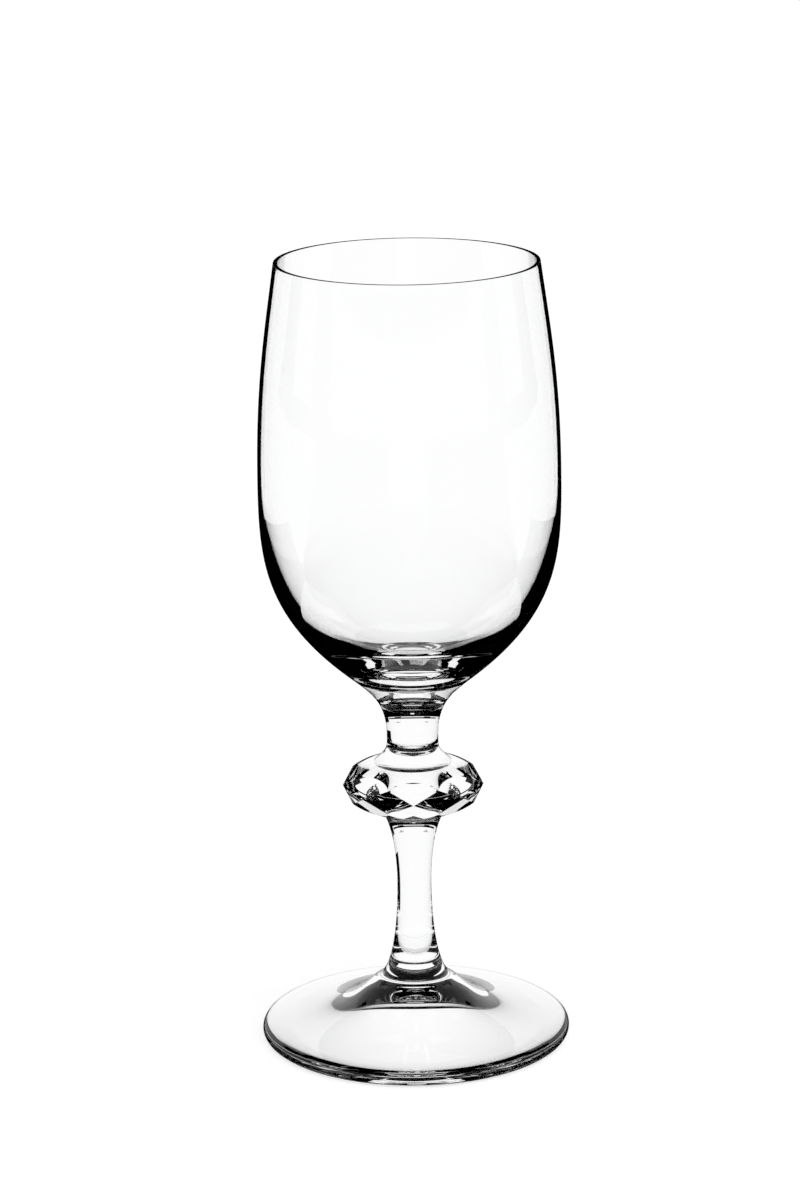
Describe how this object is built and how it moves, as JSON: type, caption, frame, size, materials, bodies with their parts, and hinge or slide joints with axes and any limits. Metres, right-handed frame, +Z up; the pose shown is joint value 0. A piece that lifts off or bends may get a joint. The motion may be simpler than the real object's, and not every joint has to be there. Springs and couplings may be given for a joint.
{
  "type": "port glass",
  "caption": "Clear crystal stem glass for port: a tulip bowl leaning in to a flat polished rim, a waisted neck, a facet-cut knop, a slim waisted stem and a wide shallow foot.",
  "frame": {"origin": "centre of the foot's resting face, on the glass's axis", "axes": "+Z up along the axis from the foot to the rim; a corner of the cut knop faces the front, -Y"},
  "size_m": [0.0608, 0.0608, 0.1549],
  "materials": {
    "crystal": "fire-polished clear crystal",
    "cut_crystal": "cut and polished clear crystal"
  },
  "bodies": {
    "root": {"bowl": "crystal", "neck": "crystal", "knop": "cut_crystal", "stem": "crystal", "foot": "crystal"}
  },
  "joints": []
}
